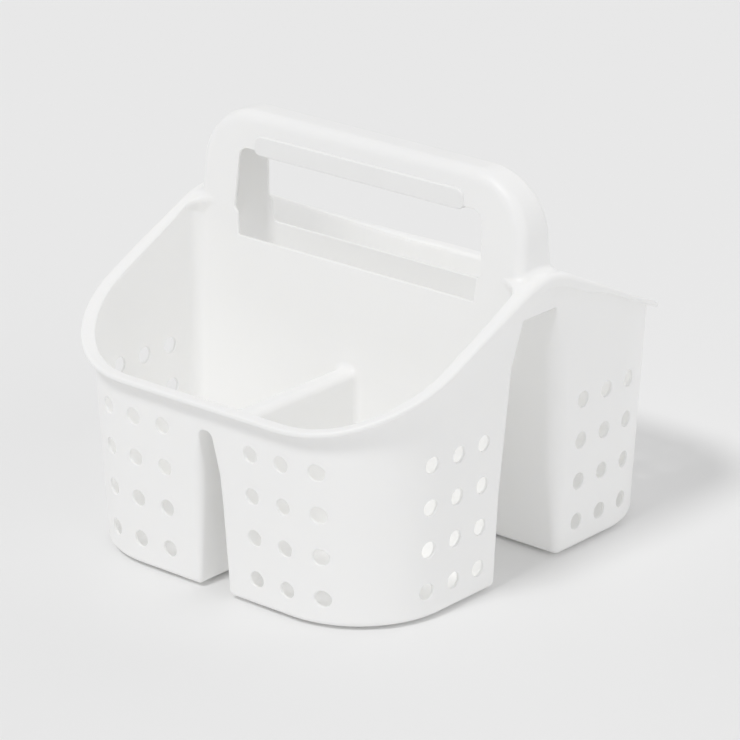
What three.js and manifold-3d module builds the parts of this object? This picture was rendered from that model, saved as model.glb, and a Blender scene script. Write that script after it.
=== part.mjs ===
// Cleaning caddy: a drafted, injection-moulded tote with a hollow carrying handle across its middle.
// Millimetres, +Z up. X runs along the handle, Y from the front bins to the rear bins, and the origin
// is under the middle of the caddy on the surface that it stands on.
import * as THREE from "three";
import { mergeVertices } from "three/addons/utils/BufferGeometryUtils.js";
import Module from "manifold-3d";

// ---------------------------------------------------------------- driving dimensions
const WALL = 2; // wall thickness of the moulding
const GAP = 0.3; // clearance left between two neighbouring sections
const FOOT_HEIGHT = 2;
const FLOOR_TOP = FOOT_HEIGHT + 2.2;

const BASE_HALF_X = 119.3; // half width of the outer walls at table height
const BASE_HALF_Y = 139.9; // half depth of the outer walls at table height
const DRAFT_X = 0.0465; // how much the side walls lean out for each millimetre of height
const DRAFT_Y = 0.0615;
const CORNER_RADIUS = 60; // at table height
const CORNER_DRAFT = 0.05;

const GAP_HALF_Y = 28.6; // half width, at table height, of the open gap under the handle
const GAP_DRAFT = 0.078;
const GAP_TOP = 164;
const GAP_CORNER_RADIUS = 10;

const SLOT_HALF_X = 11.4; // half width, at table height, of the slot between two bins
const SLOT_DRAFT = 0.062;
const SLOT_TOP = 103.5;

const RIM_PEAK = 189.4; // height of the rim beside the handle
const RIM_BENDS = [ // the rim slopes down away from the handle, and levels out again
  { depth: 10.7, rounding: 14, slope: 0.4886 },
  { depth: 151.3, rounding: 14.4, slope: -0.4886 },
];
const RIM_OVERHANG = 6.9;
const RIM_SKIRT = 3.2; // height of the rim's outer edge
const SKIRT_GROWTH = { from: 160, to: 184, extra: 4.5 }; // it grows taller up towards the handle
const RIM_THICKNESS = 2.2;
const LEDGE_REACH = 13; // little gussets where the rim meets the handle: along the handle
const LEDGE_DEPTH = 8; // and along the rim
const LEDGE_INSET = 0.3; // how far the gussets stay below the rim's top and above its underside

const HANDLE_TOP = 245;
const HANDLE_FOOT_HALF_X = 127.2; // half span of the handle where its posts start
const HANDLE_NECK_HALF_X = 124; // and higher up, where the shoulders begin
const HANDLE_NECK_HEIGHT = 200;
const SHOULDER_RADIUS = 38;
const HANDLE_EDGE_RADIUS = 7;
const HANDLE_WALL = 2.2;
const PANEL_BOTTOM = 168; // top edge of the centre walls, which is the bottom of the finger hole

const HOLE_HALF_X = 93; // finger hole
const HOLE_TOP = 222;
const HOLE_CORNER_RADIUS = 6;

const GRIP_HALF_X = 80;
const GRIP_BOTTOM = 219.8;
const GRIP_TOP = 232;
const GRIP_HALF_Y = 14.4;
const GRIP_CORNER_RADIUS = 5;
const GRIP_WALL = 2.4;
const GRIP_TAB = { width: 12, thickness: 1.6, top: 237, y: 8.2, x: [-52, 52] };

const DRAIN_RADIUS = 5;
const DRAIN_SIDES = 8;
const DRAIN_HEIGHTS = [19, 45.2, 71.4, 97.6];
const DRAIN_FIRST_X = 34.2; // first column on the front and rear walls, and the column spacing
const DRAIN_PITCH_X = 23.2;
const DRAIN_FIRST_Y = 46; // first column on the side walls
const DRAIN_PITCH_Y = 22.3;
const DRAIN_COLUMNS = 3;

const FOOT_RADIUS = 5;
const FEET = [ // places of the feet on the front half, repeated on the left
  [24, -44],
  [104, -44],
  [24, -128],
  [76, -122],
];

const ARC_STEPS = 8;
const RIM_SIDE_STEPS = 20;
const SADDLE_STEPS = 60;
const BELOW = -10; // a height safely below the table
const FAR = 400; // reach of the cutting blocks

// ---------------------------------------------------------------- widths at a height
const wallX = (z) => BASE_HALF_X + DRAFT_X * z;
const wallY = (z) => BASE_HALF_Y + DRAFT_Y * z;
const gapY = (z) => GAP_HALF_Y - GAP_DRAFT * z;
const cornerRadius = (z) => CORNER_RADIUS + CORNER_DRAFT * z;
const slotX = (z) => SLOT_HALF_X - SLOT_DRAFT * z;
const handleY = (z) => gapY(z) + WALL;

// A corner of a straight ramp, rounded over twice the blend length.
function easedRamp(distance, blend) {
  const d = distance + blend;
  if (d <= 0) return 0;
  return d < 2 * blend ? (d * d) / (4 * blend) : d - blend;
}

// Height of the top of the saddle-shaped rim where the outer wall has the depth y.
function rimHeight(y) {
  const fall = ({ depth, rounding, slope }) => slope * easedRamp(Math.abs(y) - depth, rounding);
  return RIM_BENDS.reduce((height, bend) => height - fall(bend), RIM_PEAK);
}

// Height of the rim's outer edge where the rim's top is at the height z.
function skirtHeight(z) {
  const share = THREE.MathUtils.smoothstep(z, SKIRT_GROWTH.from, SKIRT_GROWTH.to);
  return RIM_SKIRT + SKIRT_GROWTH.extra * share;
}

// ---------------------------------------------------------------- solids
const wasm = await Module();
wasm.setup();

function toSolid(geometry) {
  const bare = new THREE.BufferGeometry();
  bare.setAttribute("position", geometry.getAttribute("position"));
  if (geometry.index) bare.setIndex(geometry.index);
  const merged = mergeVertices(bare, 1e-4);
  return new wasm.Manifold(
    new wasm.Mesh({
      numProp: 3,
      vertProperties: new Float32Array(merged.attributes.position.array),
      triVerts: new Uint32Array(merged.index.array),
    }),
  );
}

function toMesh(name, solid, material) {
  const { vertProperties, triVerts } = solid.getMesh();
  const geometry = new THREE.BufferGeometry();
  geometry.setAttribute("position", new THREE.BufferAttribute(new Float32Array(vertProperties), 3));
  geometry.setIndex(new THREE.BufferAttribute(new Uint32Array(triVerts), 1));
  geometry.computeVertexNormals();
  const mesh = new THREE.Mesh(geometry, material);
  mesh.name = name;
  return mesh;
}

function movePoints(geometry, place) {
  const position = geometry.getAttribute("position");
  const point = new THREE.Vector3();
  for (let i = 0; i < position.count; i += 1) {
    place(point.fromBufferAttribute(position, i));
    position.setXYZ(i, point.x, point.y, point.z);
  }
  return geometry;
}

function block(x0, x1, y0, y1, z0, z1) {
  const box = new THREE.BoxGeometry(x1 - x0, y1 - y0, z1 - z0);
  return toSolid(box.translate((x0 + x1) / 2, (y0 + y1) / 2, (z0 + z1) / 2));
}

// A closed skin through loops of equal length: a ring of loops joins up, and any other row of convex loops
// gets a flat cap at each end.
function skin(loops, isRing) {
  const count = loops[0].length;
  const index = [];
  const spans = isRing ? loops.length : loops.length - 1;
  for (let span = 0; span < spans; span += 1) {
    const here = span * count;
    const next = ((span + 1) % loops.length) * count;
    for (let i = 0; i < count; i += 1) {
      const j = (i + 1) % count;
      index.push(here + i, here + j, next + j, here + i, next + j, next + i);
    }
  }
  const last = (loops.length - 1) * count;
  for (let i = 1; !isRing && i < count - 1; i += 1) {
    index.push(0, i + 1, i, last, last + i, last + i + 1);
  }
  const geometry = new THREE.BufferGeometry().setFromPoints(loops.flat());
  return toSolid(geometry.setIndex(index));
}

// A rectangle with its own radius at each corner, in the order (x0,y0), (x1,y0), (x1,y1), (x0,y1).
function roundedRectangle(x0, x1, y0, y1, radii) {
  const [a, b, c, d] = radii;
  const shape = new THREE.Shape();
  shape.moveTo(x0 + a, y0);
  shape.lineTo(x1 - b, y0);
  if (b > 0) shape.absarc(x1 - b, y0 + b, b, -Math.PI / 2, 0);
  shape.lineTo(x1, y1 - c);
  if (c > 0) shape.absarc(x1 - c, y1 - c, c, 0, Math.PI / 2);
  shape.lineTo(x0 + d, y1);
  if (d > 0) shape.absarc(x0 + d, y1 - d, d, Math.PI / 2, Math.PI);
  shape.lineTo(x0, y0 + a);
  if (a > 0) shape.absarc(x0 + a, y0 + a, a, Math.PI, Math.PI * 1.5);
  return shape;
}

// A block whose four sides follow the given widths as it rises, as a mould's draft makes them.
function draftedBlock(sides, z0, z1) {
  const loop = (z) => {
    const { x0, x1, y0, y1 } = sides(z);
    return [[x0, y0], [x1, y0], [x1, y1], [x0, y1]].map(([x, y]) => new THREE.Vector3(x, y, z));
  };
  return skin([loop(z0), loop(z1)], false);
}

// Everything below the rim's saddle, lowered by a distance.
function belowSaddle(drop) {
  const reach = wallY(RIM_PEAK) + 2 * RIM_OVERHANG;
  const shape = new THREE.Shape();
  shape.moveTo(-reach, BELOW);
  shape.lineTo(reach, BELOW);
  for (let i = 0; i <= SADDLE_STEPS; i += 1) {
    const y = reach - (2 * reach * i) / SADDLE_STEPS;
    shape.lineTo(y, rimHeight(y) - drop);
  }
  const geometry = new THREE.ExtrudeGeometry(shape, { depth: FAR, bevelEnabled: false });
  geometry.translate(0, 0, -FAR / 2);
  const axes = new THREE.Matrix4().makeBasis(
    new THREE.Vector3(0, 1, 0),
    new THREE.Vector3(0, 0, 1),
    new THREE.Vector3(1, 0, 0),
  );
  return toSolid(geometry.applyMatrix4(axes));
}

// An outline in X and Z, pushed through the caddy along Y with rounded edges, and leaning in as it rises.
function leaningPanel(shape, halfY, edgeRadius) {
  const geometry = new THREE.ExtrudeGeometry(shape, {
    depth: 2 - (2 * edgeRadius) / halfY(HANDLE_TOP),
    bevelEnabled: edgeRadius > 0,
    bevelThickness: edgeRadius / halfY(HANDLE_TOP),
    bevelSize: edgeRadius,
    bevelOffset: -edgeRadius,
    bevelSegments: 3,
    curveSegments: ARC_STEPS,
  });
  geometry.computeBoundingBox();
  const { min, max } = geometry.boundingBox;
  movePoints(geometry, (p) => {
    const across = ((p.z - min.z) / (max.z - min.z)) * 2 - 1;
    p.set(p.x, -across * halfY(p.y), p.y);
  });
  return toSolid(geometry);
}

function drain(x, y, z, along) {
  const drill = new THREE.CylinderGeometry(DRAIN_RADIUS, DRAIN_RADIUS, 24, DRAIN_SIDES);
  if (along === "x") drill.rotateZ(Math.PI / 2);
  return toSolid(drill.translate(x, y, z));
}

// ---------------------------------------------------------------- the four bins
// Points round a corner, counter-clockwise from an angle.
function cornerPoints(x, y, z, radius, from) {
  const points = [];
  for (let i = 0; i <= ARC_STEPS; i += 1) {
    const angle = from + (i * Math.PI) / 2 / ARC_STEPS;
    points.push(new THREE.Vector3(x + radius * Math.cos(angle), y + radius * Math.sin(angle), z));
  }
  return points;
}

// The outline at a height of the front half, from the front wall to the gap under the handle.
function frontOutline(inset, z) {
  const side = wallX(z) - inset;
  const outer = cornerRadius(z) - inset;
  const inner = GAP_CORNER_RADIUS - inset;
  const gapSide = -gapY(z) - inset - inner;
  const frontSide = inset - wallY(z) + outer;
  return [
    ...cornerPoints(side - inner, gapSide, z, inner, 0),
    ...cornerPoints(inner - side, gapSide, z, inner, Math.PI / 2),
    ...cornerPoints(outer - side, frontSide, z, outer, Math.PI),
    ...cornerPoints(side - outer, frontSide, z, outer, Math.PI * 1.5),
  ];
}

const frontBlock = (inset, z0, z1) => skin([frontOutline(inset, z0), frontOutline(inset, z1)], false);

const slotSides = (grow) => (z) => ({
  x0: -slotX(z) - grow,
  x1: slotX(z) + grow,
  y0: -FAR,
  y1: 0,
});

function handleOutline(inset) {
  const foot = HANDLE_FOOT_HALF_X - inset;
  const neck = HANDLE_NECK_HALF_X - inset;
  const top = HANDLE_TOP - inset;
  const radius = SHOULDER_RADIUS - inset;
  const shape = new THREE.Shape();
  shape.moveTo(-foot, GAP_TOP - 20);
  shape.lineTo(foot, GAP_TOP - 20);
  shape.lineTo(foot, GAP_TOP);
  shape.lineTo(neck, HANDLE_NECK_HEIGHT);
  shape.absarc(neck - radius, top - radius, radius, 0.1, Math.PI / 2);
  shape.absarc(radius - neck, top - radius, radius, Math.PI / 2, Math.PI - 0.1);
  shape.lineTo(-neck, HANDLE_NECK_HEIGHT);
  shape.lineTo(-foot, GAP_TOP);
  return shape;
}

const handleBody = (inset, edge) => leaningPanel(handleOutline(inset), (z) => handleY(z) - inset, edge);

// The space that the handle's leaning posts stand in, with clearance.
const postSpace = (z) => ({
  x0: -FAR,
  x1: FAR,
  y0: -handleY(z) - GAP,
  y1: handleY(z) + GAP,
});

function addFeet(half) {
  let standing = half;
  for (const [x, y] of FEET) {
    for (const side of [-1, 1]) {
      const pad = new THREE.CylinderGeometry(FOOT_RADIUS, FOOT_RADIUS - 0.5, FOOT_HEIGHT + 1, 12);
      pad.rotateX(Math.PI / 2).translate(side * x, y, (FOOT_HEIGHT + 1) / 2);
      standing = standing.add(toSolid(pad));
    }
  }
  return standing;
}

function cutDrains(half) {
  let cut = half;
  for (const z of DRAIN_HEIGHTS) {
    for (let column = 0; column < DRAIN_COLUMNS; column += 1) {
      const x = DRAIN_FIRST_X + column * DRAIN_PITCH_X;
      const y = DRAIN_FIRST_Y + column * DRAIN_PITCH_Y;
      for (const side of [-1, 1]) {
        cut = cut.subtract(drain(side * x, -wallY(z), z, "y"));
        cut = cut.subtract(drain(side * wallX(z), -y, z, "x"));
      }
    }
  }
  return cut;
}

function makeFrontHalf() {
  const height = RIM_PEAK + 10;
  const outside = frontBlock(0, FOOT_HEIGHT, height);
  const hollow = frontBlock(WALL, FLOOR_TOP, height + 10);
  const divider = draftedBlock(slotSides(WALL), BELOW, SLOT_TOP + WALL);
  const slot = draftedBlock(slotSides(0), BELOW, SLOT_TOP);
  const posts = draftedBlock(postSpace, PANEL_BOTTOM, HANDLE_TOP);
  const shell = outside.subtract(hollow.subtract(divider)).subtract(slot);
  const underRim = RIM_THICKNESS + GAP;
  const rimSpace = sweepRound([
    [-2 * WALL, -FAR],
    [RIM_OVERHANG + WALL, -FAR],
    [RIM_OVERHANG + WALL, underRim],
    [-2 * WALL, underRim],
  ]);
  const trimmed = shell.intersect(belowSaddle(underRim)).subtract(rimSpace).subtract(posts);
  return addFeet(cutDrains(trimmed));
}

// ---------------------------------------------------------------- the rim
// Stations round the outer walls, counter-clockwise: the way that each faces, and its place along the
// straight runs, from -1 to 1.
function rimStations() {
  const stations = [];
  for (let quarter = 0; quarter < 4; quarter += 1) {
    const facing = (quarter * Math.PI) / 2;
    const along = [Math.cos(facing), Math.sin(facing)].map(Math.round);
    const place = (share) => [along[0] - share * along[1], along[1] + share * along[0]];
    const steps = quarter % 2 === 0 ? RIM_SIDE_STEPS : 1;
    for (let i = 0; i <= steps; i += 1) {
      stations.push({ facing, run: place((2 * i) / steps - 1) });
    }
    for (let i = 1; i < ARC_STEPS; i += 1) {
      stations.push({ facing: facing + (i * Math.PI) / 2 / ARC_STEPS, run: place(1) });
    }
  }
  return stations;
}

// A point of the rim, a distance outside the wall and a distance below the rim's top, or below it by the
// rim's own edge. The rim's section stays level and square to the wall, and its height follows the wall.
function rimPoint({ facing, run }, offset, drop) {
  const outward = new THREE.Vector3(Math.cos(facing), Math.sin(facing), 0);
  const point = new THREE.Vector3(0, 0, RIM_PEAK);
  for (let i = 0; i < 10; i += 1) {
    const radius = cornerRadius(point.z);
    point.x = run[0] * (wallX(point.z) - radius) + radius * outward.x;
    point.y = run[1] * (wallY(point.z) - radius) + radius * outward.y;
    point.z = rimHeight(point.y);
  }
  point.z -= drop === "edge" ? skirtHeight(point.z) : drop;
  return point.addScaledVector(outward, offset);
}

// A section of offsets and drops, carried right round the rim.
function sweepRound(section) {
  return skin(
    rimStations().map((station) => section.map(([offset, drop]) => rimPoint(station, offset, drop))),
    true,
  );
}

// A triangle in plan that widens the rim's flange where it runs into a handle post.
function ledge(sideX, sideY) {
  const inner = wallX(RIM_PEAK) - WALL + 1;
  const post = handleY(RIM_PEAK) - 2;
  const shape = new THREE.Shape();
  shape.moveTo(inner, post);
  shape.lineTo(inner, post + LEDGE_DEPTH + 2);
  shape.lineTo(inner - LEDGE_REACH, post);
  const geometry = new THREE.ExtrudeGeometry(shape, { depth: RIM_PEAK - GAP_TOP, bevelEnabled: false });
  geometry.translate(0, 0, GAP_TOP);
  const corner = toSolid(geometry);
  const turned = sideX === sideY ? corner : corner.mirror([1, 0, 0]);
  return sideY > 0 ? turned : turned.rotate([0, 0, 180]);
}

function makeRim() {
  const flange = belowSaddle(LEDGE_INSET).subtract(belowSaddle(RIM_THICKNESS - LEDGE_INSET));
  let rim = sweepRound([
    [-WALL, 0],
    [RIM_OVERHANG, 0],
    [RIM_OVERHANG, "edge"],
    [RIM_OVERHANG - WALL, "edge"],
    [RIM_OVERHANG - WALL, RIM_THICKNESS],
    [-WALL, RIM_THICKNESS],
  ]);
  for (const sideX of [-1, 1]) {
    for (const sideY of [-1, 1]) {
      rim = rim.add(ledge(sideX, sideY).intersect(flange));
    }
  }
  return rim.subtract(handleBody(-GAP, HANDLE_EDGE_RADIUS));
}

// ---------------------------------------------------------------- the handle and its grip
// A rounded opening in X and Z that passes right through along Y.
function throughOpening(halfX, z0, z1, radius) {
  const shape = roundedRectangle(-halfX, halfX, z0, z1, [0, 0, radius, radius]);
  const geometry = new THREE.ExtrudeGeometry(shape, { depth: 80, bevelEnabled: false, curveSegments: 4 });
  return toSolid(geometry.translate(0, 0, -40).rotateX(Math.PI / 2));
}

function makeHandle() {
  const hollow = handleBody(HANDLE_WALL, HANDLE_EDGE_RADIUS - HANDLE_WALL);
  const hole = throughOpening(HOLE_HALF_X, GAP_TOP - 40, HOLE_TOP, HOLE_CORNER_RADIUS);
  const notch = throughOpening(GRIP_HALF_X + GAP, HOLE_TOP - 20, GRIP_TOP + GAP, GRIP_CORNER_RADIUS);
  const foot = PANEL_BOTTOM + GAP;
  const endX = HANDLE_FOOT_HALF_X - HANDLE_WALL - GAP;
  const endY = gapY(GAP_TOP) - GAP;
  return handleBody(0, HANDLE_EDGE_RADIUS)
    .subtract(hollow)
    .subtract(hole)
    .subtract(notch)
    .subtract(block(-endX, endX, -FAR, FAR, 0, foot))
    .subtract(block(-FAR, FAR, endY, FAR, 0, foot))
    .subtract(block(-FAR, FAR, -FAR, -endY, 0, foot))
    .subtract(block(-FAR, FAR, -FAR, FAR, 0, GAP_TOP));
}

function makeGrip() {
  const round = 2;
  const shape = roundedRectangle(
    -GRIP_HALF_X,
    GRIP_HALF_X,
    GRIP_BOTTOM,
    GRIP_TOP,
    [3, 3, GRIP_CORNER_RADIUS, GRIP_CORNER_RADIUS],
  );
  const geometry = new THREE.ExtrudeGeometry(shape, {
    depth: 2 * (GRIP_HALF_Y - round),
    bevelEnabled: true,
    bevelThickness: round,
    bevelSize: round,
    bevelOffset: -round,
    bevelSegments: 2,
    curveSegments: 3,
  });
  const bar = toSolid(geometry.translate(0, 0, round - GRIP_HALF_Y).rotateX(Math.PI / 2));
  const innerX = GRIP_HALF_X - GRIP_WALL;
  const innerY = GRIP_HALF_Y - GRIP_WALL;
  let grip = bar.subtract(block(-innerX, innerX, -innerY, innerY, GRIP_BOTTOM + GRIP_WALL, FAR));
  for (const x of GRIP_TAB.x) {
    for (const side of [-1, 1]) {
      const y = side * GRIP_TAB.y;
      const [w, t] = [GRIP_TAB.width / 2, GRIP_TAB.thickness / 2];
      grip = grip.add(block(x - w, x + w, y - t, y + t, GRIP_BOTTOM + 1, GRIP_TAB.top));
    }
  }
  return grip;
}

// ---------------------------------------------------------------- the assembly
const plastic = new THREE.MeshStandardMaterial({ color: 0xf3f3f1, roughness: 0.42, metalness: 0 });
const gripPlastic = new THREE.MeshStandardMaterial({ color: 0xececea, roughness: 0.62, metalness: 0 });

const front = makeFrontHalf();
const rightSide = block(GAP / 2, FAR, -FAR, FAR, BELOW, FAR);
const leftSide = block(-FAR, -GAP / 2, -FAR, FAR, BELOW, FAR);
const frontRight = front.intersect(rightSide);
const frontLeft = front.intersect(leftSide);

const caddy = new THREE.Group();
caddy.add(
  toMesh("front_left_bin", frontLeft, plastic.clone()),
  toMesh("front_right_bin", frontRight, plastic.clone()),
  toMesh("rear_left_bin", frontRight.rotate([0, 0, 180]), plastic.clone()),
  toMesh("rear_right_bin", frontLeft.rotate([0, 0, 180]), plastic.clone()),
  toMesh("rim", makeRim(), plastic.clone()),
  toMesh("handle", makeHandle(), plastic.clone()),
  toMesh("grip_insert", makeGrip(), gripPlastic),
);

export default caddy;
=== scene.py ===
import math

import bpy
import numpy as np
from mathutils import Matrix, Vector


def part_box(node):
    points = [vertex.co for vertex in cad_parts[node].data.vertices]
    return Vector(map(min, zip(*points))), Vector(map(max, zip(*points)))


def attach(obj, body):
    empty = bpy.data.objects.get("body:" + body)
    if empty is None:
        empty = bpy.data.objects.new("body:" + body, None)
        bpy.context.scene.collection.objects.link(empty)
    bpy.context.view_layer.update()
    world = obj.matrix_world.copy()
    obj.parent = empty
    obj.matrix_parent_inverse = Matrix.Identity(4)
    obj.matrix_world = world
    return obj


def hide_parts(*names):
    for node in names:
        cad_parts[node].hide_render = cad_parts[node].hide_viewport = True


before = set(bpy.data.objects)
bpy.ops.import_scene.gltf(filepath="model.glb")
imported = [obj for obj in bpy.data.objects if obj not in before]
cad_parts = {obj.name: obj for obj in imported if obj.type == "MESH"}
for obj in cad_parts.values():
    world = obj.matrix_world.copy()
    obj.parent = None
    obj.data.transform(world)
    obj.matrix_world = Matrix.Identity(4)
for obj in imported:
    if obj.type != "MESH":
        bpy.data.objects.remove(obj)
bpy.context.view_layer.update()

MM = 0.001

# ------------------------------------------------------------ driving dimensions, in millimetres
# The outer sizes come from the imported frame; the wall, drafts and radii are the moulding's own.
rim_low, rim_high = (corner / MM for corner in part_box("rim"))
handle_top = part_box("handle")[1].z / MM
grip_low, grip_high = (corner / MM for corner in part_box("grip_insert"))

WALL = 2.0
RIM_PEAK = rim_high.z
RIM_BENDS = [(10.7, 14.0, 0.4886), (151.3, 14.4, -0.4886)]  # depth, rounding, added slope
RIM_OVERHANG = 6.9
RIM_THICKNESS = 2.2
RIM_SKIRT, RIM_EDGE = 3.2, 1.4
GROWTH_FROM, GROWTH_TO = 160.0, 184.0  # between these heights the rim's outer edge grows
SKIRT_GROWTH, EDGE_GROWTH = 4.5, 2.6
SKIRT_BOTTOM_EDGE, RIM_UNDER_RADIUS = 0.9, 0.6
RIM_INNER_EDGE = 2.6
ROUND_FROM, ROUND_OVER, ROUND_DEPTH = 10, 20, 6  # where the rounder inner edge begins, clear of the posts

DRAFT_X, DRAFT_Y = 0.0465, 0.0615
BASE_HALF_X = rim_high.x - RIM_OVERHANG - DRAFT_X * RIM_PEAK
BASE_HALF_Y = 139.9
CORNER_RADIUS, CORNER_DRAFT = 60.0, 0.05
FOOT_HEIGHT = 2.0
FLOOR_TOP = 4.2
BOTTOM_RADIUS = 3.5

GAP_HALF_Y, GAP_DRAFT, GAP_TOP, GAP_CORNER = 28.6, 0.078, 164.0, 10.0
GAP_TOP_RADIUS = 2.0
SLOT_HALF_X, SLOT_DRAFT, SLOT_TOP, SLOT_CORNER = 11.4, 0.062, 103.5, 6.0
SLOT_TOP_RADIUS = 4.0
BASE_SHARE, SHARE_GROWTH = 0.4, 0.01  # of a corner's radius: at the base, and more for each millimetre up
FADE_HEIGHT, LEAST_SHARE = 26.0, 0.1

HANDLE_FOOT, HANDLE_NECK = (164.0, 127.2), (200.0, 124.0)  # height, half width
HANDLE_BEND = 6
SHOULDER_RADIUS = 38.0
HANDLE_EDGE = 7.0
HANDLE_FILLET = 5.0
PANEL_BOTTOM, PANEL_EDGE = 168.0, 1.0
HOLE_HALF_X, HOLE_TOP, HOLE_CORNER = 93.5, 222.0, 6.0
HOLE_DRAFT, HOLE_DRAFT_TOP = 0.065, 213
WAIST_HEIGHT, WAIST_STEP, WAIST_ROUNDING, WAIST_DRAFT = 183, 3.0, 2, 0.085
LEDGE_REACH, LEDGE_DEPTH, LEDGE_TAPER, LEDGE_EDGE = 17.0, 10.0, 0.25, 0.3

GRIP_BOTTOM, GRIP_TOP, GRIP_CORNER = grip_low.z, 232.0, 5.0
GRIP_WALL, GRIP_EDGE, GRIP_LOWER_CORNER = 2.4, 0.9, 3.0
TROUGH_CORNER, TROUGH_FLOOR_RADIUS, TROUGH_EDGE = 2.0, 1.0, 0.6
NOTCH_PRESS, NOTCH_EDGE, NOTCH_START = 0.5, 0.25, HOLE_TOP - 8

DRAIN_RADIUS, DRAIN_EDGE = 5.0, 0.4
DRAIN_START = (100, 110)  # the holes are drilled outward from here
DRAIN_FIRST = (34.2, 46.0, 19.0)
DRAIN_PITCH = (23.2, 22.3, 26.2)
DRAIN_COUNT = (3, 3, 4)
FEET = [(24, 44), (104, 44), (24, 128), (76, 122)]
FOOT_RADIUS, FOOT_EDGE, FOOT_REST = 5.0, 0.8, 0.01
EDGE, JOIN_RADIUS = 0.7, 0.5


# ------------------------------------------------------------ distance fields
# A field is negative inside the solid. Only the quarter with x and y above zero is described.
def both(a, b, r=0.0):
    """The overlap of two fields, its edge rounded to radius r."""
    return np.minimum(np.maximum(a, b), -r) + np.hypot(np.maximum(a + r, 0), np.maximum(b + r, 0))


def either(a, b, r=0.0):
    """Two fields joined, the inner corner between them filled to radius r."""
    return -both(-a, -b, r)


def eased_ramp(distance, blend):
    """Nought before the start and the distance after it, with a smooth bend between."""
    d = np.clip(distance + blend, 0, 2 * blend)
    return d * d / (4 * blend) + np.maximum(distance - blend, 0)


def eased_slope(distance, blend):
    """The slope of eased_ramp, from nought to one."""
    return np.clip((distance + blend) / (2 * blend), 0, 1)


def fading(radius, top, z):
    """A corner's radius, which is small at the base and dies away over the last stretch below a height."""
    above_base = np.clip(BASE_SHARE + SHARE_GROWTH * z, BASE_SHARE, 1)
    return radius * above_base * np.clip((top - z) / FADE_HEIGHT, LEAST_SHARE, 1)


def gap_y(z):
    """Where the bins' walls beside the gap under the handle stand, at a height."""
    return GAP_HALF_Y - GAP_DRAFT * z


def outside_plan(x, y, z):
    """Distance outside the outer walls in plan, and how far the way out turns from X to Y."""
    radius = CORNER_RADIUS + CORNER_DRAFT * z
    qx = x - (BASE_HALF_X + DRAFT_X * z) + radius
    qy = y - (BASE_HALF_Y + DRAFT_Y * z) + radius
    reach = np.hypot(np.maximum(qx, 0), np.maximum(qy, 0))
    turn = np.maximum(qy, 0) / np.maximum(reach, 1)
    return reach + np.minimum(np.maximum(qx, qy), 0) - radius, turn


def above_rim(y, z, plan, turn):
    """Distance above the rim's saddle, which is level square to the wall, and how far its edge has grown."""
    wall_y = y - turn * np.clip(plan, -2 * WALL, RIM_OVERHANG)
    fall = sum(added * eased_ramp(wall_y - depth, rounding) for depth, rounding, added in RIM_BENDS)
    slope = sum(added * eased_slope(wall_y - depth, rounding) for depth, rounding, added in RIM_BENDS)
    climb = np.clip((RIM_PEAK - fall - GROWTH_FROM) / (GROWTH_TO - GROWTH_FROM), 0, 1)
    return (z - RIM_PEAK + fall) / np.hypot(1, slope * (1 - turn)), climb * climb * (3 - 2 * climb)


def handle_outline(x, z, inset):
    """Distance outside the handle's arched outline, seen from the front."""
    slope = (HANDLE_FOOT[1] - HANDLE_NECK[1]) / (HANDLE_NECK[0] - HANDLE_FOOT[0])
    leaning = eased_ramp(z - HANDLE_FOOT[0], HANDLE_BEND) - eased_ramp(z - HANDLE_NECK[0], HANDLE_BEND)
    side = HANDLE_FOOT[1] - slope * leaning
    return both(x - side + inset, z - handle_top + inset, SHOULDER_RADIUS - inset)


def outer_shell(x, y, z, plan):
    """The four pods: the drafted outside, less the gap under the handle and the slots."""
    over_gap = either(gap_y(z) - y, GAP_TOP - z, GAP_TOP_RADIUS)
    pods = both(plan, over_gap, fading(GAP_CORNER, GAP_TOP, z))
    over_slot = either(SLOT_HALF_X - SLOT_DRAFT * z - x, SLOT_TOP - z, SLOT_TOP_RADIUS)
    pods = both(pods, over_slot, fading(SLOT_CORNER, SLOT_TOP, z))
    return both(pods, FOOT_HEIGHT - z, BOTTOM_RADIUS)


def lip(plan, rim, climb):
    """The rim's flange, reaching in over the ledges, and its edge, which grows taller towards the handle."""
    skirt = RIM_SKIRT + SKIRT_GROWTH * climb
    top = both(plan - RIM_OVERHANG, rim, RIM_EDGE + EDGE_GROWTH * climb)
    outer = both(top, -rim - skirt, SKIRT_BOTTOM_EDGE)
    under = both(plan - RIM_OVERHANG + WALL, rim + RIM_THICKNESS + climb, RIM_UNDER_RADIUS)
    return both(both(outer, -under), -plan - LEDGE_REACH - 2 * WALL)


def ledge(y, z, plan, rim):
    """A gusset, which fills the corner of the flange and a handle post, and tapers away below."""
    short_of_tip = 1 + (plan + WALL) / LEDGE_REACH
    short_of_end = 1 - (y - gap_y(z) - WALL) / LEDGE_DEPTH
    column = LEDGE_DEPTH * (1 - np.hypot(np.maximum(short_of_tip, 0), np.maximum(short_of_end, 0)))
    past_ends = np.maximum(-LEDGE_REACH * short_of_tip, -LEDGE_DEPTH * short_of_end)
    return np.maximum(column, past_ends) + LEDGE_TAPER * np.maximum(-rim - RIM_THICKNESS, 0)


def divider(x, z):
    """The double wall between two bins, as a ridge."""
    return both(x - (SLOT_HALF_X - SLOT_DRAFT * z) - WALL, z - SLOT_TOP - WALL, SLOT_TOP_RADIUS)


def bin_space(x, y, z, plan, rim):
    """The space inside a bin."""
    sides = both(plan + WALL, gap_y(z) + WALL - y, GAP_CORNER - WALL)
    space = both(both(sides, FLOOR_TOP - z, BOTTOM_RADIUS), -divider(x, z), SLOT_CORNER - WALL)
    return both(space, -ledge(y, z, plan, rim), LEDGE_EDGE)


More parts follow.
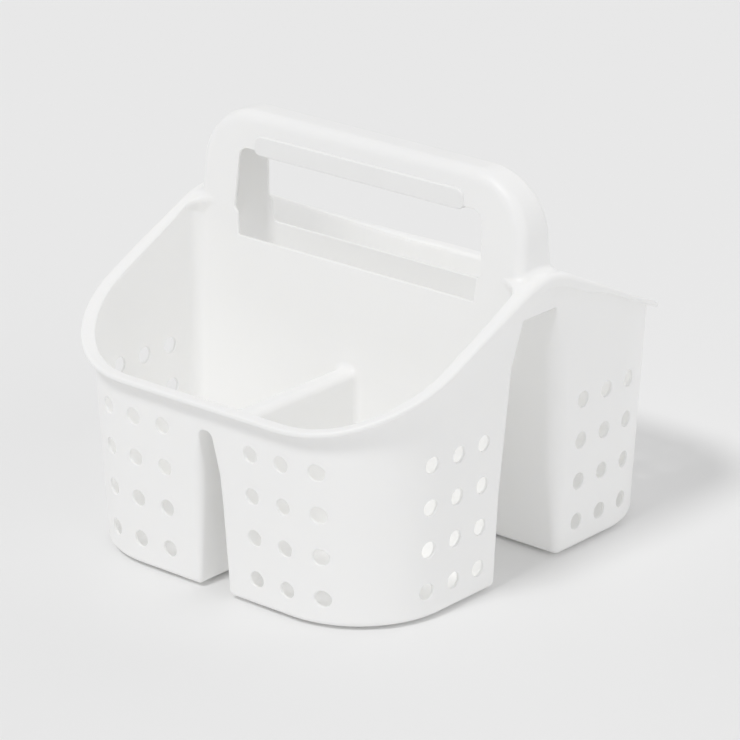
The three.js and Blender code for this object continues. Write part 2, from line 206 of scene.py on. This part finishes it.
def drains(x, y, z):
    """The drain holes, drilled through the end wall and the side wall."""
    def grid(place, axis):
        step = np.clip(np.round((place - DRAIN_FIRST[axis]) / DRAIN_PITCH[axis]), 0, DRAIN_COUNT[axis] - 1)
        return place - DRAIN_FIRST[axis] - step * DRAIN_PITCH[axis]

    through_end = both(np.hypot(grid(x, 0), grid(z, 2)) - DRAIN_RADIUS, DRAIN_START[1] - y)
    through_side = both(np.hypot(grid(y, 1), grid(z, 2)) - DRAIN_RADIUS, DRAIN_START[0] - x)
    return either(through_end, through_side)


def finger_hole(x, z):
    """The hole's outline: it narrows a little at the rim's height, and its top corners are round."""
    below = WAIST_HEIGHT - z
    narrow = WAIST_STEP * eased_slope(below, WAIST_ROUNDING) + WAIST_DRAFT * np.maximum(below, 0)
    half = HOLE_HALF_X + HOLE_DRAFT * (HOLE_DRAFT_TOP - np.maximum(z, WAIST_HEIGHT)) - narrow
    return both(both(x - half, z - HOLE_TOP, HOLE_CORNER), PANEL_BOTTOM - z, PANEL_EDGE)


def grip_notch(x, z):
    """The notch that the grip is pressed into, a little smaller than the grip."""
    outline = both(x - grip_high.x + NOTCH_PRESS, z - GRIP_TOP + NOTCH_PRESS, GRIP_CORNER)
    return both(outline, NOTCH_START - z)


def feet(x, y, z):
    """The low round feet, which reach up into the bins' floors."""
    pads = [np.hypot(x - a, y - b) for a, b in FEET]
    pad = np.minimum.reduce(pads) - FOOT_RADIUS
    return both(both(pad, FOOT_REST - z, FOOT_EDGE), z - FLOOR_TOP + 1)


def caddy_field(x, y, z):
    """The whole moulding."""
    plan, turn = outside_plan(x, y, z)
    rim, climb = above_rim(y, z, plan, turn)
    gap = y - gap_y(z)
    shell = both(outer_shell(x, y, z, plan), rim + 1)
    handle = both(both(handle_outline(x, z, 0), gap - WALL, HANDLE_EDGE), GAP_TOP - z)
    over_rim = np.clip(rim / RIM_THICKNESS + 1, 0, 1)
    along_gusset = np.clip(1 + (plan + WALL) / LEDGE_REACH, 0, 1)
    solid = either(shell, lip(plan, rim, climb), JOIN_RADIUS)
    solid = either(solid, handle, HANDLE_FILLET * over_rim * along_gusset)

    under_top = np.clip(2 - rim, 0, 1)
    clear_of_post = np.clip((gap - ROUND_FROM) / ROUND_OVER, 0, 1) * np.clip(1 + rim / ROUND_DEPTH, 0, 1)
    edge = EDGE + (RIM_INNER_EDGE - EDGE) * clear_of_post
    solid = both(solid, -bin_space(x, y, z, plan, rim), edge * under_top * np.clip(gap - WALL, 0, 1))
    solid = both(solid, -both(gap, handle_outline(x, z, WALL), HANDLE_EDGE - WALL))
    solid = both(solid, -finger_hole(x, z), EDGE)
    solid = both(solid, -grip_notch(x, z), NOTCH_EDGE)
    solid = both(solid, -drains(x, y, z), DRAIN_EDGE)
    return either(solid, feet(x, y, z), JOIN_RADIUS)


def grip_field(x, y, z):
    """The grip insert: a shallow trough with rounded ends."""
    outline = both(both(x - grip_high.x, z - GRIP_TOP, GRIP_CORNER), GRIP_BOTTOM - z, GRIP_LOWER_CORNER)
    shell = both(outline, y - grip_high.y, GRIP_EDGE)
    trough = both(x - grip_high.x + GRIP_WALL, y - grip_high.y + GRIP_WALL, TROUGH_CORNER)
    trough = both(trough, GRIP_BOTTOM + GRIP_WALL - z, TROUGH_FLOOR_RADIUS)
    return both(shell, -trough, TROUGH_EDGE)


# ------------------------------------------------------------ from a field to a mesh
def sample(field, low, counts, step, layers=4):
    """The field on a grid, a few layers of z at a time to keep the arrays small."""
    x, y, z = (low[i] + step * np.arange(counts[i], dtype=np.float32) for i in range(3))
    grid = np.empty(counts, np.float32)
    x, y = x[:, None, None], y[None, :, None]
    for k in range(0, counts[2], layers):
        grid[:, :, k:k + layers] = field(x, y, z[None, None, k:k + layers])
    return grid


def surface_net(field, low, high, step):
    """Vertices and quads of the field's zero surface."""
    counts = [int(math.ceil((high[i] - low[i]) / step)) + 1 for i in range(3)]
    grid = sample(field, low, counts, step)
    inside = grid < 0
    cells = np.zeros([n - 1 for n in counts], np.uint8)
    corners = [(a, b, c) for a in (0, 1) for b in (0, 1) for c in (0, 1)]
    for a, b, c in corners:
        cells += inside[a:counts[0] - 1 + a, b:counts[1] - 1 + b, c:counts[2] - 1 + c]
    active = np.argwhere((cells > 0) & (cells < 8))
    number = np.full(cells.shape, -1, np.int32)
    number[tuple(active.T)] = np.arange(len(active))

    total, hits = np.zeros((len(active), 3)), np.zeros(len(active))
    for start in corners:
        for axis in range(3):
            if start[axis]:
                continue
            end = tuple(1 if i == axis else start[i] for i in range(3))
            va = grid[tuple((active + start).T)]
            vb = grid[tuple((active + end).T)]
            crossed = (va < 0) != (vb < 0)
            share = np.where(crossed, va / np.where(crossed, va - vb, 1), 0)
            point = np.array(start) + share[:, None] * (np.array(end) - start)
            total += point * crossed[:, None]
            hits += crossed
    vertices = np.array(low) + step * (active + total / hits[:, None])

    quads = []
    for axis in range(3):
        u, v = (axis + 1) % 3, (axis + 2) % 3
        first = [slice(None)] * 3
        second = [slice(None)] * 3
        first[axis], second[axis] = slice(0, -1), slice(1, None)
        a, b = inside[tuple(first)], inside[tuple(second)]
        for leaving, order in ((a & ~b, (0, 1, 2, 3)), (b & ~a, (3, 2, 1, 0))):
            edges = np.argwhere(leaving)
            edges = edges[(edges[:, u] > 0) & (edges[:, v] > 0)]
            edges = edges[(edges[:, u] < counts[u] - 1) & (edges[:, v] < counts[v] - 1)]
            around = []
            for du, dv in ((1, 1), (0, 1), (0, 0), (1, 0)):
                cell = edges.copy()
                cell[:, u] -= du
                cell[:, v] -= dv
                around.append(number[tuple(cell.T)])
            quads.append(np.stack([around[i] for i in order], 1))
    return vertices, np.concatenate(quads)


def value(field, points):
    """The field at points anywhere, by mirror symmetry."""
    x, y, z = points.T
    return field(np.abs(x), np.abs(y), z)


def normals_at(field, points, reach=0.03):
    """Unit normals of the field's surface at points."""
    slopes = np.empty_like(points)
    for axis in range(3):
        move = np.zeros(3)
        move[axis] = reach
        slopes[:, axis] = value(field, points + move) - value(field, points - move)
    return slopes / np.maximum(np.linalg.norm(slopes, axis=1, keepdims=True), 1e-9)


def settle(field, points, limit):
    """Moves points onto the field's surface, by no more than the limit."""
    start = points
    for _ in range(3):
        points = points - value(field, points)[:, None] * normals_at(field, points)
        points = start + np.clip(points - start, -limit, limit)
    return points


def quad_mesh(name, points, quads):
    """A mesh made straight from arrays of vertices and quads."""
    mesh = bpy.data.meshes.new(name)
    mesh.vertices.add(len(points))
    mesh.vertices.foreach_set("co", points.astype(np.float32).ravel())
    mesh.loops.add(quads.size)
    mesh.loops.foreach_set("vertex_index", quads.astype(np.int32).ravel())
    mesh.polygons.add(len(quads))
    mesh.polygons.foreach_set("loop_start", np.arange(0, quads.size, 4, dtype=np.int32))
    mesh.update(calc_edges=True)
    mesh.validate()
    return mesh


def apply_modifiers(piece):
    """Replaces a piece's mesh with what its modifiers make of it."""
    evaluated = piece.evaluated_get(bpy.context.evaluated_depsgraph_get())
    mesh = bpy.data.meshes.new_from_object(evaluated)
    piece.modifiers.clear()
    piece.data = mesh


def symmetric_piece(name, field, low, high, step, faces):
    """A piece meshed from a quarter of its field, thinned, and mirrored across X = 0 and Y = 0."""
    points, quads = surface_net(field, low, high, step)
    points = settle(field, points, step)
    piece = bpy.data.objects.new(name, quad_mesh(name, points, quads))
    bpy.context.scene.collection.objects.link(piece)
    thin = piece.modifiers.new("thin", "DECIMATE")
    thin.ratio = min(1.0, faces / (2 * len(quads)))
    thin.use_collapse_triangulate = True
    apply_modifiers(piece)
    mirror = piece.modifiers.new("mirror", "MIRROR")
    mirror.use_axis = (True, True, False)
    mirror.use_bisect_axis = (True, True, False)
    mirror.merge_threshold = 0.01
    apply_modifiers(piece)
    finish_surface(piece, field)
    return piece


def finish_surface(piece, field):
    """Smooth shading from the field's own normals, and the size in metres."""
    mesh = piece.data
    mesh.shade_smooth()
    points = np.empty(3 * len(mesh.vertices), np.float32)
    mesh.vertices.foreach_get("co", points)
    points = points.reshape(-1, 3).astype(float)
    mesh.normals_split_custom_set_from_vertices(normals_at(field, points))
    mesh.transform(Matrix.Scale(MM, 4))


# ------------------------------------------------------------ materials
PLASTIC_IOR = 1.49


def new_material(name):
    """A material, its nodes and links, and its shader."""
    material = bpy.data.materials.new(name)
    material.use_nodes = True
    nodes = material.node_tree.nodes
    return material, nodes, material.node_tree.links, nodes["Principled BSDF"]


def set_inputs(node, settings):
    for name, setting in settings.items():
        node.inputs[name].default_value = setting


def noise(nodes, links, scale, detail=3.0, roughness=0.5):
    """A noise in the piece's own coordinates, scale in cycles a metre."""
    place = nodes.new("ShaderNodeTexCoord")
    texture = nodes.new("ShaderNodeTexNoise")
    set_inputs(texture, {"Scale": scale, "Detail": detail, "Roughness": roughness})
    links.new(place.outputs["Object"], texture.inputs["Vector"])
    return texture.outputs["Fac"]


def spread(nodes, links, source, low, high):
    """Maps a noise onto a range."""
    ranged = nodes.new("ShaderNodeMapRange")
    set_inputs(ranged, {"From Min": 0.3, "From Max": 0.7, "To Min": low, "To Max": high})
    links.new(source, ranged.inputs["Value"])
    return ranged.outputs["Result"]


def bump(nodes, links, shader, heights):
    """Stacks bumps on a shader: each is a height and its depth in metres."""
    normal = None
    for height, depth in heights:
        node = nodes.new("ShaderNodeBump")
        node.inputs["Distance"].default_value = depth
        links.new(height, node.inputs["Height"])
        if normal:
            links.new(normal, node.inputs["Normal"])
        normal = node.outputs["Normal"]
    links.new(normal, shader.inputs["Normal"])


def tinted(nodes, links, factor, first, second):
    """A colour that drifts between two."""
    mix = nodes.new("ShaderNodeMix")
    mix.data_type = "RGBA"
    set_inputs(mix, {"A": (*first, 1), "B": (*second, 1)})
    links.new(factor, mix.inputs["Factor"])
    return mix.outputs["Result"]


def satin_polypropylene():
    """White moulded polypropylene: a soft sheen, faint flow clouding and a very fine skin."""
    material, nodes, links, shader = new_material("satin_polypropylene")
    clouds = spread(nodes, links, noise(nodes, links, 14, 4.0), 0, 1)
    colour = tinted(nodes, links, clouds, (0.978, 0.977, 0.968), (0.99, 0.989, 0.981))
    links.new(colour, shader.inputs["Base Color"])
    links.new(spread(nodes, links, noise(nodes, links, 60, 3.0), 0.34, 0.44), shader.inputs["Roughness"])
    skin = noise(nodes, links, 2600, 2.0, 0.6)
    ripple = noise(nodes, links, 45, 1.0)
    bump(nodes, links, shader, [(ripple, 0.00012), (skin, 0.00001)])
    set_inputs(shader, {
        "IOR": PLASTIC_IOR, "Specular IOR Level": 0.45, "Subsurface Weight": 0.3,
        "Subsurface Radius": (1.0, 0.97, 0.9), "Subsurface Scale": 0.003})
    return material


def matt_grip_plastic():
    """The grip's plastic: the same white with a spark-eroded matt texture."""
    material, nodes, links, shader = new_material("matt_grip_plastic")
    clouds = spread(nodes, links, noise(nodes, links, 25, 4.0), 0, 1)
    colour = tinted(nodes, links, clouds, (0.905, 0.905, 0.902), (0.925, 0.925, 0.922))
    links.new(colour, shader.inputs["Base Color"])
    links.new(spread(nodes, links, noise(nodes, links, 90, 3.0), 0.5, 0.62), shader.inputs["Roughness"])
    grain = noise(nodes, links, 1500, 4.0, 0.7)
    bump(nodes, links, shader, [(grain, 0.00005)])
    set_inputs(shader, {"IOR": PLASTIC_IOR})
    return material


def studio_floor():
    """A plain pale matt floor."""
    material, nodes, links, shader = new_material("studio_floor")
    colour = tinted(nodes, links, noise(nodes, links, 1.5), (0.866, 0.866, 0.866), (0.874, 0.874, 0.874))
    links.new(colour, shader.inputs["Base Color"])
    set_inputs(shader, {"Roughness": 0.9, "Specular IOR Level": 0.1})
    return material


# ------------------------------------------------------------ the pieces
BODY_STEP, BODY_FACES = 0.6, 49000  # grid step, and faces in a quarter
MARGIN = 2 * BODY_STEP
body = symmetric_piece(
    "caddy_body", caddy_field, (-MARGIN, -MARGIN, -MARGIN),
    (rim_high.x + MARGIN, rim_high.y + MARGIN, handle_top + MARGIN), BODY_STEP, BODY_FACES)
body.data.materials.append(satin_polypropylene())
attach(body, "root")
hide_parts("front_left_bin", "front_right_bin", "rear_left_bin", "rear_right_bin", "rim", "handle")

GRIP_STEP, GRIP_FACES = 0.35, 12000
grip = symmetric_piece(
    "grip", grip_field, (-1, -1, GRIP_BOTTOM - 1), (grip_high.x + 1, grip_high.y + 1, GRIP_TOP + 1),
    GRIP_STEP, GRIP_FACES)
grip.data.materials.append(matt_grip_plastic())
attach(grip, "root")
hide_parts("grip_insert")


# ------------------------------------------------------------ the studio
CAMERA_TARGET = (0.0699, -0.0831, 0.1397)
CAMERA_AZIMUTH, CAMERA_ELEVATION, CAMERA_DISTANCE = 40.69, 20.8, 2.2445
CAMERA_SENSOR, CAMERA_LENS = 36, 192.5
FLOOR_REACH = 12


def point_from(target, azimuth, elevation, distance):
    """A point at a bearing from a target: azimuth 0 is in front, and positive goes round to the right."""
    a, e = math.radians(azimuth), math.radians(elevation)
    return target + distance * Vector((math.sin(a) * math.cos(e), -math.cos(a) * math.cos(e), math.sin(e)))


def aim(thing, target):
    """Turns a lamp or camera to face a point."""
    thing.rotation_euler = (target - thing.location).to_track_quat("-Z", "Y").to_euler()


def add_camera():
    data = bpy.data.cameras.new("camera")
    data.sensor_width = CAMERA_SENSOR
    data.lens = CAMERA_LENS
    camera = bpy.data.objects.new("camera", data)
    bpy.context.scene.collection.objects.link(camera)
    target = Vector(CAMERA_TARGET)
    camera.location = point_from(target, CAMERA_AZIMUTH, CAMERA_ELEVATION, CAMERA_DISTANCE)
    aim(camera, target)
    bpy.context.scene.camera = camera


def add_sun(name, azimuth, elevation, width, strength):
    """A distant lamp. A wide one, in degrees, is a big softbox."""
    data = bpy.data.lights.new(name, "SUN")
    data.angle = math.radians(width)
    data.energy = strength
    light = bpy.data.objects.new(name, data)
    bpy.context.scene.collection.objects.link(light)
    target = Vector((0, 0, 0.1))
    light.location = point_from(target, azimuth, elevation, 2)
    aim(light, target)


def add_floor():
    mesh = bpy.data.meshes.new("floor")
    corners = [(a * FLOOR_REACH, b * FLOOR_REACH, 0) for a, b in ((-1, -1), (1, -1), (1, 1), (-1, 1))]
    mesh.from_pydata(corners, [], [(0, 1, 2, 3)])
    mesh.materials.append(studio_floor())
    floor = bpy.data.objects.new("floor", mesh)
    bpy.context.scene.collection.objects.link(floor)


def add_world(strength):
    """Even white light from all round."""
    world = bpy.data.worlds.new("studio")
    world.use_nodes = True
    background = world.node_tree.nodes["Background"]
    background.inputs["Color"].default_value = (1, 1, 1, 1)
    background.inputs["Strength"].default_value = strength
    bpy.context.scene.world = world


bpy.context.scene.view_settings.view_transform = "Standard"
bpy.context.scene.view_settings.gamma = 1.3
add_camera()
add_floor()
add_world(0.375)
add_sun("key", 0, 55, 13, 1.21)
add_sun("back_fill", 180, 30, 60, 0.45)
add_sun("left_fill", -90, 30, 60, 0.25)
add_sun("right_fill", 90, 30, 60, 0.44)
bpy.context.scene.cycles.diffuse_bounces = 20
